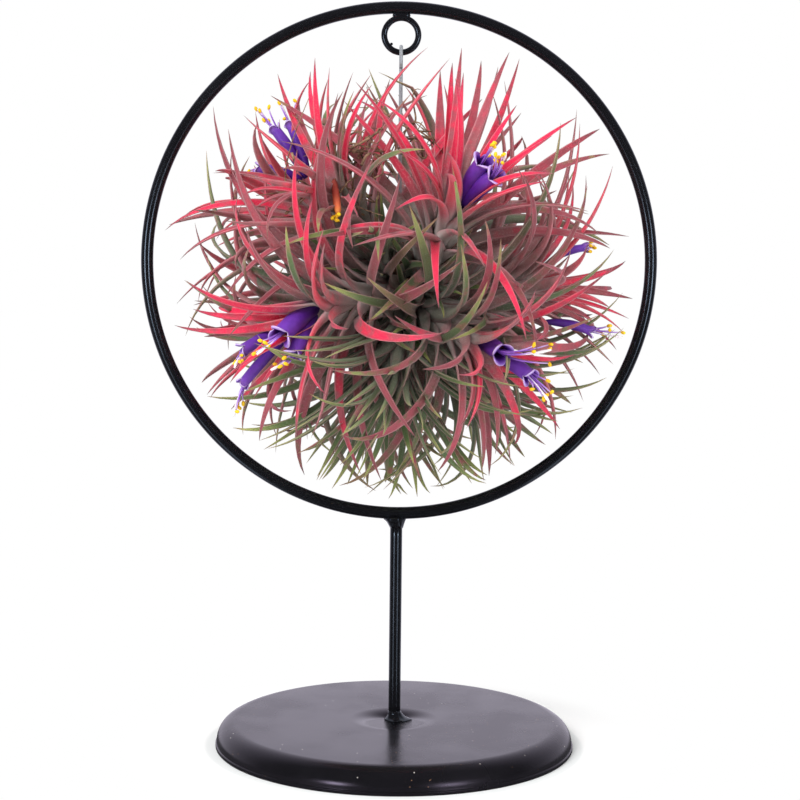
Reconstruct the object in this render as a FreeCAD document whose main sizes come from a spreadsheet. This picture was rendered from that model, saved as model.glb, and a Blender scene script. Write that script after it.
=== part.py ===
import FreeCAD, Part
import math
import os

import Sketcher

V = FreeCAD.Vector
doc = FreeCAD.newDocument("air_plant_holder")

# Driving dimensions in millimetres and degrees. Each row: name, value, what it is.
SIZES = [
    ("base_diameter", 118.0, "pressed base, across the lip"),
    ("base_height", 8.0, "table to the top of the base"),
    ("sheet_thickness", 1.2, "steel sheet of the base"),
    ("shoulder_radius", 4.5, "rounded upper edge of the base"),
    ("lip_width", 0.4, "how far the lip stands out at the table"),
    ("lip_root", 0.2, "slope between wall and lip"),
    ("lip_edge", 0.1, "broken upper edge of the lip"),
    ("stem_diameter", 4.0, "straight rod"),
    ("stem_height", 66.8, "top of the base to the ring"),
    ("stem_cope", 0.7, "how far the coped end of the stem reaches up round the ring"),
    ("weld_fit", 0.05, "gap between welded pieces, and between a bead and the rods beside it"),
    ("ring_inner_diameter", 160.0, "free opening of the big ring"),
    ("ring_rod_diameter", 4.0, "rod that the big ring is bent from"),
    ("eye_inner_diameter", 9.0, "free opening of the small ring"),
    ("eye_wire_diameter", 2.0, "wire that the small ring is bent from"),
    ("weld_gap", 0.3, "gap that the weld between small and big ring fills"),
    ("eye_weld_width", 5.6, "web between small and big ring, side to side"),
    ("eye_weld_depth", 2.2, "the same web, front to back"),
    ("eye_weld_drop", 1.0, "how far the web reaches down beside the small ring"),
    ("base_weld_skirt_radius", 4.6, "bead round the foot of the stem, on the base"),
    ("base_weld_skirt_height", 0.9, "its low flared part"),
    ("base_weld_neck_radius", 2.9, "where the flare turns up along the stem"),
    ("base_weld_height", 2.9, "top of the bead above the base"),
    ("weld_rim", 0.25, "thickness of a bead where it runs out on the stem"),
    ("base_weld_offset", 0.6, "the bead is heavier on the right"),
    ("ring_weld_radius", 3.4, "bead under the big ring"),
    ("ring_weld_height", 3.0, "how far it runs down the stem"),
    ("ring_weld_rise", 0.6, "how far it rises beside the rod of the ring"),
    ("hook_wire_diameter", 1.2, "galvanised wire"),
    ("hook_clearance", 0.25, "hook bend to the wire of the small ring"),
    ("hook_point", 5.5, "short leg of the hook, below the bend"),
    ("hook_leg", 3.0, "long leg before it cranks back to the centre line"),
    ("crank_radius", 2.5, "bends of the crank"),
    ("crank_angle", 30.0, "slope of the crank, degrees"),
    ("ball_drop", 8.2, "centre of the plant ball below the centre of the ring"),
    ("ball_clearance", 3.0, "lowest leaf tips to the ring"),
    ("core_seat", 15.0, "centre of the ball to the flats that the plants sit on"),
    ("core_bore_clearance", 0.08, "radial gap between wire and bore"),
    ("countersink_depth", 1.6, "flare at the lower end of the bore"),
    ("foot_radius", 1.8, "bend of the wire under the core"),
    ("foot_length", 3.6, "reach of the foot from the centre line"),
    ("foot_gap", 0.3, "core to the foot that carries it"),
    ("bulb_seat_radius", 4.0, "plant, where it sits on the core"),
    ("bulb_radius", 6.8, "plant, at its thickest"),
    ("bulb_rise", 6.0, "seat to the thickest level"),
    ("bulb_mouth_radius", 2.8, "top of the bulb"),
    ("bulb_height", 19.0, "seat to the top of the bulb"),
    ("leaf_width", 6.4, "a leaf, at its root"),
    ("leaf_root_low", 4.0, "lowest leaf root above the seat"),
    ("leaf_root_high", 13.0, "highest leaf root above the seat"),
    ("flower_radius", 0.9, "flower tube at its root"),
    ("flower_circle", 1.4, "radius of the circle that the flower tubes stand on"),
    ("flower_height", 27.0, "length of a flower tube"),
    ("flower_lean", 7.0, "lean of a flower tube, degrees"),
    ("bud_height", 21.0, "length of a dried flower"),
]

# Leaves of each habit of growth: count, and angle from the axis of the plant to the outermost
# leaf tip and to the mouth's, in degrees.
HABITS = {
    "open": (10, 46.0, 14.0),
    "dense": (10, 40.0, 11.0),
}

# Where each plant points from the centre of the ball: azimuth from the front towards
# the right, elevation, turn about its own axis (all degrees), habit.
PLANTS = {
    "left_front_plant": (-38.0, -10.0, 204.0, "open"),
    "upper_left_front_plant": (-38.0, 43.0, 264.0, "dense"),
    "upper_right_front_plant": (28.0, 36.0, 300.0, "open"),
    "right_front_plant": (36.0, -19.0, 204.0, "open"),
    "lower_front_plant": (-4.0, -59.0, 252.0, "dense"),
    "right_plant": (82.0, 4.0, 12.0, "open"),
    "upper_left_back_plant": (-108.0, 36.0, 228.0, "open"),
    "left_back_plant": (-99.0, -20.0, 180.0, "dense"),
    "lower_right_back_plant": (98.0, -50.0, 108.0, "dense"),
    "upper_back_plant": (143.0, 50.0, 312.0, "dense"),
    "right_back_plant": (142.0, -8.0, 336.0, "dense"),
    "back_plant": (-156.0, 0.0, 348.0, "open"),
    "lower_left_back_plant": (-159.0, -56.0, 324.0, "dense"),
}

# The plants that are in flower: each flower tube's turn about the axis, in degrees.
FLOWER_TURNS = {
    "left_front": (0.0, 120.0, 240.0),
    "right_front": (0.0, 120.0, 240.0),
    "upper_right_front": (0.0, 120.0, 240.0),
    "right": (0.0, 180.0),
    "upper_left_back": (0.0, 120.0, 240.0),
}

# Level of a leaf section along the leaf, and its width, as shares of the whole.
LEAF_STATION_SHARES = ((0.0, 1.0), (0.3, 0.82), (0.66, 0.48))
BEAD_NECK_SHARE = 0.4
LEAF_BOW_OUTER_SHARE = 0.14
LEAF_BOW_INNER_SHARE = 0.05
LEAF_KEEL_SHARE = 0.25
LEAF_TIP_REACH_SHARE = 0.99
# Width of a flower tube along its height.
FLOWER_STATION_SHARES = ((0.0, 1.0), (0.55, 0.9), (1.0, 1.5))
# Flats that stand for a round: rods and wires, the shoulder of the base, bulbs, flowers.
ROD_SIDES = 12
WIRE_SIDES = 8
SHOULDER_STEPS = 3
BEAD_SIDES = 12
BULB_SIDES = 6
FLOWER_SIDES = 6
GOLDEN_ANGLE = 137.508
FULL_TURN = 360.0

sheet = doc.addObject("Spreadsheet::Sheet", "Sizes")
for row, (alias, number, note) in enumerate(SIZES, start=1):
    sheet.set("A%d" % row, alias)
    sheet.set("B%d" % row, str(number))
    sheet.set("C%d" % row, note)
    sheet.setAlias("B%d" % row, alias)
doc.recompute()


def size(alias):
    """Value of one cell of the sheet."""
    return float(getattr(sheet, alias))


# Levels and radii that follow from the driving dimensions, as expressions for the sheet.
WALL_RADIUS = "(Sizes.base_diameter / 2 - Sizes.lip_width)"
STEM_HOLE_RADIUS = "(Sizes.stem_diameter / 2 + Sizes.weld_fit)"
RING_RADIUS = "((Sizes.ring_inner_diameter + Sizes.ring_rod_diameter) / 2)"
STEM_TOP = "(Sizes.base_height + Sizes.stem_height)"
RING_HEIGHT = "(%s + Sizes.ring_rod_diameter / 2 + %s)" % (STEM_TOP, RING_RADIUS)
EYE_RADIUS = "((Sizes.eye_inner_diameter + Sizes.eye_wire_diameter) / 2)"
RING_TOP_INSIDE = "(%s + Sizes.ring_inner_diameter / 2)" % RING_HEIGHT
EYE_OUTSIDE = "(%s + Sizes.eye_wire_diameter / 2)" % EYE_RADIUS
EYE_HEIGHT = "(%s - Sizes.weld_gap - %s)" % (RING_TOP_INSIDE, EYE_OUTSIDE)
PIVOT_HEIGHT = "(%s - %s)" % (EYE_HEIGHT, EYE_RADIUS)
BALL_HEIGHT = "(%s - Sizes.ball_drop)" % RING_HEIGHT
HOOK_RADIUS = "(Sizes.eye_wire_diameter / 2 + Sizes.hook_clearance + Sizes.hook_wire_diameter / 2)"
STEM_BOTTOM = "(Sizes.base_height - Sizes.sheet_thickness)"
FOOT_LEVEL = "(Sizes.core_seat + Sizes.foot_gap + Sizes.hook_wire_diameter / 2)"


def value(expression):
    """Number that an expression over the sheet gives now."""
    result = sheet.evalExpression(expression)
    return float(getattr(result, "Value", result))


def new_body(label):
    body = doc.addObject("PartDesign::Body", label)
    body.Label = label
    return body


def origin_plane(body, role):
    return [feature for feature in body.Origin.OriginFeatures if feature.Role == role][0]


def new_sketch(body, name, role="XY_Plane"):
    sketch = body.newObject("Sketcher::SketchObject", name)
    sketch.AttachmentSupport = [(origin_plane(body, role), "")]
    sketch.MapMode = "FlatFace"
    return sketch


def outline_sketch(body, name, points, role="XZ_Plane"):
    """Closed outline of straight runs, both coordinates of each corner bound to the sheet."""
    sketch = new_sketch(body, name, role)
    spots = [V(value(across), value(along), 0) for across, along in points]
    count = len(spots)
    for index in range(count):
        sketch.addGeometry(Part.LineSegment(spots[index], spots[(index + 1) % count]), False)
    for index in range(count):
        following = (index + 1) % count
        sketch.addConstraint(Sketcher.Constraint("Coincident", index, 2, following, 1))
    for index, spot in enumerate(spots):
        for kind, number, expression in zip(("DistanceX", "DistanceY"), spot, points[index]):
            bound = sketch.addConstraint(Sketcher.Constraint(kind, -1, 1, index, 1, number))
            sketch.setExpression("Constraints[%d]" % bound, expression)
    return sketch


def round_outline(sides, radius, across="0", along="0"):
    """Corners of a regular outline about one point, as expressions."""
    corners = []
    for index in range(sides):
        angle = FULL_TURN * index / sides
        corners.append(("%s + %s * cos(%r deg)" % (across, radius, angle),
                        "%s + %s * sin(%r deg)" % (along, radius, angle)))
    return corners


def revolve(body, name, sketch):
    feature = body.newObject("PartDesign::Revolution", name)
    feature.Profile = sketch
    feature.ReferenceAxis = (sketch, ["V_Axis"])
    feature.Angle = FULL_TURN
    doc.recompute()
    return feature


def lift(thing, height):
    """Stand a sub-part at a height that follows the sheet."""
    thing.setExpression("Placement.Base.z", height)


def lay_flat_axis(thing):
    """Turn a round thing so that its axis points to the front."""
    thing.Placement = FreeCAD.Placement(V(0, 0, 0), FreeCAD.Rotation(V(1, 0, 0), FULL_TURN / 4))


def primitive(kind, name, **expressions):
    solid = doc.addObject(kind, name)
    for field, expression in expressions.items():
        solid.setExpression(field, expression)
    return solid


def cut(label, base, tool):
    result = doc.addObject("Part::Cut", label)
    result.Base = base
    result.Tool = tool
    result.Label = label
    return result


# Pressed steel base: a shallow inverted dish of one sheet, with a rounded shoulder, a small
# lip at the table and a hole for the stem.
def make_base_plate():
    body = new_body("base_plate")
    outer = "Sizes.base_diameter / 2"
    inner = WALL_RADIUS + " - Sizes.sheet_thickness"
    ceiling = "Sizes.base_height - Sizes.sheet_thickness"
    bend = "(Sizes.shoulder_radius - Sizes.sheet_thickness)"
    points = [(STEM_HOLE_RADIUS, ceiling), (STEM_HOLE_RADIUS, "Sizes.base_height")]
    for step in range(SHOULDER_STEPS + 1):
        angle = FULL_TURN / 4 * (1 - step / SHOULDER_STEPS)
        points.append(("%s - Sizes.shoulder_radius * (1 - cos(%r deg))" % (WALL_RADIUS, angle),
                       "Sizes.base_height - Sizes.shoulder_radius * (1 - sin(%r deg))" % angle))
    points += [
        (WALL_RADIUS, "Sizes.sheet_thickness + Sizes.lip_root"),
        (WALL_RADIUS + " + Sizes.lip_root", "Sizes.sheet_thickness"),
        (outer + " - Sizes.lip_edge", "Sizes.sheet_thickness"),
        (outer, "Sizes.sheet_thickness - Sizes.lip_edge"),
        (outer, "0"),
        (inner, "0"),
        (inner, ceiling + " - " + bend),
        (inner + " - " + bend, ceiling),
    ]
    revolve(body, "dish", outline_sketch(body, "dish_outline", points))
    return body


# Straight rod through the base, its upper end coped to the round of the big ring.
def make_stem():
    rod = primitive("Part::Cylinder", "stem_rod", Radius="Sizes.stem_diameter / 2",
                    Height="%s + Sizes.stem_cope - %s" % (STEM_TOP, STEM_BOTTOM))
    lift(rod, STEM_BOTTOM)
    saddle = primitive("Part::Cylinder", "stem_saddle",
                       Radius="Sizes.ring_rod_diameter / 2 + Sizes.weld_fit",
                       Height="Sizes.stem_diameter * 2")
    saddle.Placement = FreeCAD.Placement(V(0, 0, 0), FreeCAD.Rotation(V(0, 1, 0), FULL_TURN / 4))
    saddle.setExpression("Placement.Base.x", "-Sizes.stem_diameter")
    lift(saddle, "%s - %s" % (RING_HEIGHT, RING_RADIUS))
    return cut("stem", rod, saddle)


def make_bent_ring(label, radius, thickness, height):
    """A rod bent to a closed circle that stands upright."""
    body = new_body(label)
    section = round_outline(ROD_SIDES, thickness + " / 2", across=radius)
    revolve(body, label + "_rod", outline_sketch(body, label + "_section", section))
    lay_flat_axis(body)
    lift(body, height)
    return body


def make_ring():
    return make_bent_ring("ring", RING_RADIUS, "Sizes.ring_rod_diameter", RING_HEIGHT)


def make_eye_loop():
    return make_bent_ring("eye_loop", EYE_RADIUS, "Sizes.eye_wire_diameter", EYE_HEIGHT)


# Weld bead at the foot of the stem: a low flared skirt, heavier on one side, that turns up
# along the rod.
def make_base_weld():
    floor = size("base_height")
    rim = value(STEM_HOLE_RADIUS) + size("weld_rim")
    offset = size("base_weld_offset")
    neck = size("base_weld_neck_radius")
    skirt_top = floor + size("base_weld_skirt_height")
    bead = faceted([
        polygon(BEAD_SIDES, size("base_weld_skirt_radius"), V(offset, 0, floor)),
        polygon(BEAD_SIDES, neck, V(offset * BEAD_NECK_SHARE, 0, skirt_top)),
        polygon(BEAD_SIDES, rim, V(0, 0, floor + size("base_weld_height"))),
    ])
    bore = Part.makeCylinder(value(STEM_HOLE_RADIUS), size("base_weld_height"), V(0, 0, floor))
    return feature("base_weld", bead.cut(bore), FreeCAD.Placement())


# Weld bead under the big ring: a collar on the stem that widens up to the rod of the ring.
def make_ring_weld():
    top = value(STEM_TOP)
    bottom = top - size("ring_weld_height")
    rim = value(STEM_HOLE_RADIUS) + size("weld_rim")
    wide = size("ring_weld_radius")
    collar = faceted([
        polygon(BEAD_SIDES, rim, V(0, 0, bottom)),
        polygon(BEAD_SIDES, wide, V(0, 0, top + size("ring_weld_rise"))),
    ])
    bore = Part.makeCylinder(value(STEM_HOLE_RADIUS), size("ring_weld_height") * 2, V(0, 0, bottom))
    ring_rod = size("ring_rod_diameter") / 2
    saddle = Part.makeCylinder(ring_rod + size("weld_fit"), wide * 2, V(-wide, 0, top + ring_rod),
                               V(1, 0, 0))
    return feature("ring_weld", collar.cut(bore).cut(saddle), FreeCAD.Placement())


# Weld between the small ring and the big one: a short web that fills the wedge beside
# the point where the two rings meet.
def make_eye_weld():
    web = primitive("Part::Box", "eye_weld_web", Length="Sizes.eye_weld_width",
                    Width="Sizes.eye_weld_depth", Height="Sizes.eye_weld_drop + Sizes.weld_gap")
    web.setExpression("Placement.Base.x", "-Sizes.eye_weld_width / 2")
    web.setExpression("Placement.Base.y", "-Sizes.eye_weld_depth / 2")
    lift(web, "%s - Sizes.weld_gap - Sizes.eye_weld_drop" % RING_TOP_INSIDE)
    discs = []
    for name, radius, height in (
            ("eye_weld_ring_side", "Sizes.ring_inner_diameter / 2 - Sizes.weld_fit", RING_HEIGHT),
            ("eye_weld_eye_side", EYE_OUTSIDE + " + Sizes.weld_fit", EYE_HEIGHT)):
        disc = primitive("Part::Cylinder", name, Radius=radius, Height="Sizes.eye_weld_depth * 2")
        lay_flat_axis(disc)
        disc.setExpression("Placement.Base.y", "Sizes.eye_weld_depth")
        lift(disc, height)
        discs.append(disc)
    inside = doc.addObject("Part::Common", "eye_weld_inside")
    inside.Base = web
    inside.Tool = discs[0]
    return cut("eye_weld", inside, discs[1])


# Wire that carries the plant ball: hook over the small ring, crank back to the centre
# line, straight shank through the core and a short foot bent under it.
def make_hanging_wire():
    body = new_body("hanging_wire")
    path = new_sketch(body, "wire_path", "YZ_Plane")
    bend = value(HOOK_RADIUS)
    point = size("hook_point")
    leg = size("hook_leg")
    crank = size("crank_radius")
    slope = math.radians(size("crank_angle"))
    foot = size("foot_radius")
    shank_end = "%s - %s + %s - Sizes.foot_radius" % (PIVOT_HEIGHT, BALL_HEIGHT, FOOT_LEVEL)
    end = -value(shank_end)
    sine = math.sin(slope)
    cosine = math.cos(slope)
    run = (bend - 2 * crank * (1 - cosine)) / sine
    upper = V(bend - crank + crank * cosine, -leg - crank * sine, 0)
    lower = upper + V(-sine, -cosine, 0) * run
    lower_centre = lower + V(cosine, -sine, 0) * crank
    up = V(0, 0, 1)
    half = math.pi
    path.addGeometry([
        Part.LineSegment(V(-bend, -point, 0), V(-bend, 0, 0)),
        Part.ArcOfCircle(Part.Circle(V(0, 0, 0), up, bend), 0, half),
        Part.LineSegment(V(bend, 0, 0), V(bend, -leg, 0)),
        Part.ArcOfCircle(Part.Circle(V(bend - crank, -leg, 0), up, crank), -slope, 0),
        Part.LineSegment(upper, lower),
        Part.ArcOfCircle(Part.Circle(lower_centre, up, crank), half - slope, half),
        Part.LineSegment(V(0, lower_centre.y, 0), V(0, end, 0)),
        Part.ArcOfCircle(Part.Circle(V(foot, end, 0), up, foot), half, half * 3 / 2),
        Part.LineSegment(V(foot, end - foot, 0), V(size("foot_length"), end - foot, 0)),
    ], False)
    # Each run leaves the one before it in line.
    joints = [(0, 2, 1, 2), (1, 1, 2, 1), (2, 2, 3, 2), (3, 1, 4, 1), (4, 2, 5, 1),
              (5, 2, 6, 1), (6, 2, 7, 1), (7, 2, 8, 1)]
    for first, first_end, second, second_end in joints:
        path.addConstraint(Sketcher.Constraint("Tangent", first, first_end, second, second_end))
    path.addConstraint(Sketcher.Constraint("Coincident", 1, 3, -1, 1))
    for upright_run in (0, 2, 6):
        path.addConstraint(Sketcher.Constraint("Vertical", upright_run))
    path.addConstraint(Sketcher.Constraint("Horizontal", 8))
    path.addConstraint(Sketcher.Constraint("PointOnObject", 6, 2, -2))
    bound = [
        (Sketcher.Constraint("Radius", 1, bend), HOOK_RADIUS),
        (Sketcher.Constraint("DistanceY", 0, 1, 0, 2, point), "Sizes.hook_point"),
        (Sketcher.Constraint("DistanceY", 2, 2, 2, 1, leg), "Sizes.hook_leg"),
        (Sketcher.Constraint("Radius", 3, crank), "Sizes.crank_radius"),
        (Sketcher.Constraint("Radius", 5, crank), "Sizes.crank_radius"),
        (Sketcher.Constraint("Radius", 7, foot), "Sizes.foot_radius"),
        (Sketcher.Constraint("DistanceY", 6, 2, -1, 1, -end), shank_end),
        (Sketcher.Constraint("DistanceX", -1, 1, 8, 2, size("foot_length")), "Sizes.foot_length"),
        (Sketcher.Constraint("Angle", 4, -half / 2 - slope), "(-Sizes.crank_angle - 90) * 1 deg"),
    ]
    for constraint, expression in bound:
        index = path.addConstraint(constraint)
        path.setExpression("Constraints[%d]" % index, expression)
    section = outline_sketch(body, "wire_section", round_outline(
        WIRE_SIDES, "Sizes.hook_wire_diameter / 2"), "XY_Plane")
    section.setExpression("AttachmentOffset.Base.y", "-" + HOOK_RADIUS)
    section.setExpression("AttachmentOffset.Base.z", "-Sizes.hook_point")
    doc.recompute()
    pipe = body.newObject("PartDesign::AdditivePipe", "wire")
    pipe.Profile = section
    pipe.Spine = path
    lift(body, PIVOT_HEIGHT)
    doc.recompute()
    return body


def direction(azimuth, elevation):
    """Unit vector from the ball's centre: azimuth from the front towards the right."""
    turn = math.radians(azimuth)
    rise = math.radians(elevation)
    return V(math.sin(turn) * math.cos(rise), -math.cos(turn) * math.cos(rise), math.sin(rise))


def feature(label, shape, placement):
    part = doc.addObject("Part::Feature", label)
    part.Shape = shape
    part.Placement = placement
    part.Label = label
    return part


def ball_placement(rotation=FreeCAD.Rotation()):
    return FreeCAD.Placement(V(0, 0, value(BALL_HEIGHT)), rotation)


# Core of the ball: a block of root wood with a flat for every plant, one above and one
# below, bored down the middle for the wire.
def make_root_core():
    seat = size("core_seat")
    wide = 2 * seat
    block = Part.makeBox(2 * wide, 2 * wide, 2 * seat, V(-wide, -wide, -seat))
    for azimuth, elevation, spin, habit in PLANTS.values():
        beyond = Part.makeBox(2 * wide, 2 * wide, wide, V(-wide, -wide, seat))
        beyond.Placement = FreeCAD.Placement(
            V(0, 0, 0), FreeCAD.Rotation(V(0, 0, 1), direction(azimuth, elevation)))
        block = block.cut(beyond)
    bore_radius = size("hook_wire_diameter") / 2 + size("core_bore_clearance")
    flare = size("countersink_depth")
    bore = Part.makeCylinder(bore_radius, 2 * seat, V(0, 0, -seat))
    countersink = Part.makeCone(bore_radius + flare, bore_radius, flare, V(0, 0, -seat))
    return feature("root_core", block.cut(bore).cut(countersink), ball_placement())


def faceted(sections):
    """Solid through like polygons on parallel planes; the last may be a single point."""
    faces = [Part.Face(Part.makePolygon(sections[0] + sections[0][:1]))]
    for low, high in zip(sections, sections[1:]):
        for index in range(len(low)):
            following = (index + 1) % len(low)
            corners = [low[index], low[following]]
            corners += [high[following], high[index]] if len(high) > 1 else high
            faces.append(Part.Face(Part.makePolygon(corners + corners[:1])))
    if len(sections[-1]) > 1:
        faces.append(Part.Face(Part.makePolygon(sections[-1] + sections[-1][:1])))
    solid = Part.makeSolid(Part.makeShell(faces))
    if solid.Volume < 0:
        solid.reverse()
    return solid


def polygon(sides, radius, centre):
    corners = []
    for index in range(sides):
        angle = 2 * math.pi * index / sides
        corners.append(centre + V(radius * math.cos(angle), radius * math.sin(angle), 0))
    return corners


def between(first, last, share):
    return first + (last - first) * share


# Swollen base of a plant, standing on its seat along +Z.
def make_bulb():
    seat = size("core_seat")
    return faceted([
        polygon(BULB_SIDES, size("bulb_seat_radius"), V(0, 0, seat)),
        polygon(BULB_SIDES, size("bulb_radius"), V(0, 0, seat + size("bulb_rise"))),
        polygon(BULB_SIDES, size("bulb_mouth_radius"), V(0, 0, seat + size("bulb_height"))),
    ])


def make_leaf(order, tip_angle, reach):
    """One keeled leaf that rises from the bulb and bows outwards to its tip."""
    seat = size("core_seat")
    # Roots start far enough from the axis to leave the mouth free.
    root = V(size("bulb_mouth_radius"), 0,
             seat + between(size("leaf_root_low"), size("leaf_root_high"), order))
    angle = math.radians(tip_angle)
    tip = V(reach * math.sin(angle), 0, reach * math.cos(angle))
    chord = tip - root
    bow = chord.Length * between(LEAF_BOW_OUTER_SHARE, LEAF_BOW_INNER_SHARE, order)
    inward = V(-chord.z, 0, chord.x).normalize()
    crest = root + chord * 0.5 + inward * bow
    curve = Part.Arc(root, crest, tip).toShape()
    first, last = curve.ParameterRange
    sections = []
    for station, width_share in LEAF_STATION_SHARES:
        spot = curve.valueAt(between(first, last, station))
        half = size("leaf_width") * width_share / 2
        keel = size("leaf_width") * width_share * LEAF_KEEL_SHARE
        sections.append([spot + V(0, -half, 0), spot + V(keel, 0, 0), spot + V(0, half, 0)])
    sections.append([tip])
    return faceted(sections)


# A rosette: the bulb with its leaves in a golden-angle spiral, the low ones spreading
# widest and the high ones nearly upright.
def make_rosette(habit):
    count, outer_angle, inner_angle = HABITS[habit]
    ball_radius = size("ring_inner_diameter") / 2 - size("ball_drop") - size("ball_clearance")
    reach = ball_radius * LEAF_TIP_REACH_SHARE
    leaves = []
    for index in range(count):
        order = index / count
        leaf = make_leaf(order, between(outer_angle, inner_angle, order), reach)
        leaf.rotate(V(0, 0, 0), V(0, 0, 1), GOLDEN_ANGLE * index)
        leaves.append(leaf)
    rosette = make_bulb().multiFuse(leaves)
    return rosette.Solids[0]


def plant_rotation(azimuth, elevation, spin):
    aim = FreeCAD.Rotation(V(0, 0, 1), direction(azimuth, elevation))
    return aim.multiply(FreeCAD.Rotation(V(0, 0, 1), spin))


def make_plants():
    rosettes = {habit: make_rosette(habit) for habit in HABITS}
    plants = []
    for label, (azimuth, elevation, spin, habit) in PLANTS.items():
        placement = ball_placement(plant_rotation(azimuth, elevation, spin))
        plants.append(feature(label, rosettes[habit].copy(), placement))
    return plants


def make_flower(height, lean, circle, turn):
    """One slender tube that stands on the mouth of the bulb and leans outwards."""
    foot = size("core_seat") + size("bulb_height")
    radius = size("flower_radius")
    sections = []
    for station, width_share in FLOWER_STATION_SHARES:
        rise = height * station
        centre = V(circle + rise * math.tan(math.radians(lean)), 0, foot + rise)
        sections.append(polygon(FLOWER_SIDES, radius * width_share, centre))
    tube = faceted(sections)
    tube.rotate(V(0, 0, 0), V(0, 0, 1), turn)
    return tube


# Flowers: groups of tubes in the throats of the plants that bloom, and one dried flower.
def make_flowers():
    groups = []
    for name, turns in FLOWER_TURNS.items():
        azimuth, elevation, spin, habit = PLANTS[name + "_plant"]
        tubes = []
        for turn in turns:
            tubes.append(make_flower(size("flower_height"), size("flower_lean"),
                                     size("flower_circle"), turn))
        placement = ball_placement(plant_rotation(azimuth, elevation, spin))
        groups.append(feature(name + "_flowers", Part.makeCompound(tubes), placement))
    azimuth, elevation, spin, habit = PLANTS["upper_left_front_plant"]
    bud = make_flower(size("bud_height"), 0, 0, 0)
    placement = ball_placement(plant_rotation(azimuth, elevation, spin))
    groups.append(feature("dried_flower", bud, placement))
    return groups


parts = [make_base_plate(), make_stem(), make_ring(), make_eye_loop(), make_base_weld(),
         make_ring_weld(), make_eye_weld(), make_hanging_wire(), make_root_core()]
parts += make_plants()
parts += make_flowers()
doc.recompute()

for thing in doc.Objects:
    if "Invalid" in thing.State or "Error" in thing.State:
        raise RuntimeError(thing.Label + " did not build")
for part in parts:
    if part.Shape.isNull() or not part.Shape.isValid():
        raise RuntimeError(part.Label + " has no valid shape")

os.makedirs("parts", exist_ok=True)
for part in parts:
    part.Shape.exportStep(os.path.join("parts", part.Label + ".step"))
    print(part.Label, len(part.Shape.Solids), "solid(s)", round(part.Shape.Volume, 1), "mm3")
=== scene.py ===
import math

import bmesh
import bpy
import numpy as np
from mathutils import Matrix, Vector, noise


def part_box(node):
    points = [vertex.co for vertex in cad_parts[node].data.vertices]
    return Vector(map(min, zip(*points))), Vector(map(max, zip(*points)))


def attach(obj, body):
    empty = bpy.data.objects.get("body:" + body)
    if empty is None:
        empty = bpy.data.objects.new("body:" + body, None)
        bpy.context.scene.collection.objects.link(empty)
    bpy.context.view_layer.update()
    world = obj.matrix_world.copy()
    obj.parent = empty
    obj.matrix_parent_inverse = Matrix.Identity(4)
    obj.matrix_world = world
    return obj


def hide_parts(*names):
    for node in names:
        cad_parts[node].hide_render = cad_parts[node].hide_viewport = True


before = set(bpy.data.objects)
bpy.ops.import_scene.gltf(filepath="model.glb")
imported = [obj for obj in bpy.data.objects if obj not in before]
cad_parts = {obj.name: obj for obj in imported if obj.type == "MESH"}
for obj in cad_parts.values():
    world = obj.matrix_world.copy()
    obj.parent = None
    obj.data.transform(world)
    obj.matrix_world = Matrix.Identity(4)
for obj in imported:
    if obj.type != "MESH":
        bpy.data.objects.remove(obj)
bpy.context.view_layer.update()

MM = 0.001
FULL_TURN = 2 * math.pi
GOLDEN_ANGLE = math.radians(137.508)
UP = np.array((0.0, 0.0, 1.0))
# A direction in which no tube of the scene starts.
SKEW = (0.31, 0.62, 0.72)

# The photograph's frame and camera, worked out from the ellipses of the ring and the base.
PHOTO_SIDE = 800
FOCAL_PIXELS = 1684
SENSOR = 36.0
CAMERA_PLACE = np.array((0.8, -550.0, 153.7)) * MM
CAMERA_PITCH = math.radians(4.12)
CAMERA_ROLL = math.radians(0.6)

# Sizes read from the frame.
ring_low, ring_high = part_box("ring")
eye_low, eye_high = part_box("eye_loop")
stem_low, stem_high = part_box("stem")
base_low, base_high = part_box("base_plate")
core_low, core_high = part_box("root_core")
ROD = (ring_high.y - ring_low.y) / 2
RING_RADIUS = (ring_high.x - ring_low.x) / 2 - ROD
RING_CENTRE = (ring_high.z + ring_low.z) / 2
EYE_WIRE = (eye_high.y - eye_low.y) / 2
EYE_RADIUS = (eye_high.x - eye_low.x) / 2 - EYE_WIRE
EYE_CENTRE = (eye_high.z + eye_low.z) / 2
STEM_RADIUS = (stem_high.x - stem_low.x) / 2
BASE_RADIUS = (base_high.x - base_low.x) / 2
BASE_TOP = base_high.z
CORE_RADIUS = (core_high.z - core_low.z) / 2
BALL_CENTRE = np.array((0.0, 0.0, (core_high.z + core_low.z) / 2))
PIVOT = EYE_CENTRE - EYE_RADIUS


def linear(red, green, blue):
    """An sRGB colour, 0 to 255, as the shader's linear numbers."""
    shares = [channel / 255 for channel in (red, green, blue)]
    return tuple(((share + 0.055) / 1.055) ** 2.4 for share in shares) + (1.0,)


def between(first, last, share):
    return first + (last - first) * share


def ease(share):
    """Smooth step from 0 to 1."""
    share = np.clip(share, 0, 1)
    return share * share * (3 - 2 * share)


def unit(vectors):
    return vectors / np.linalg.norm(vectors, axis=-1, keepdims=True)


def direction(azimuth, elevation):
    """Unit vector from the ball's centre: azimuth from the front towards the right."""
    turn = math.radians(azimuth)
    rise = math.radians(elevation)
    return np.array((math.sin(turn) * math.cos(rise), -math.cos(turn) * math.cos(rise),
                     math.sin(rise)))


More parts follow.
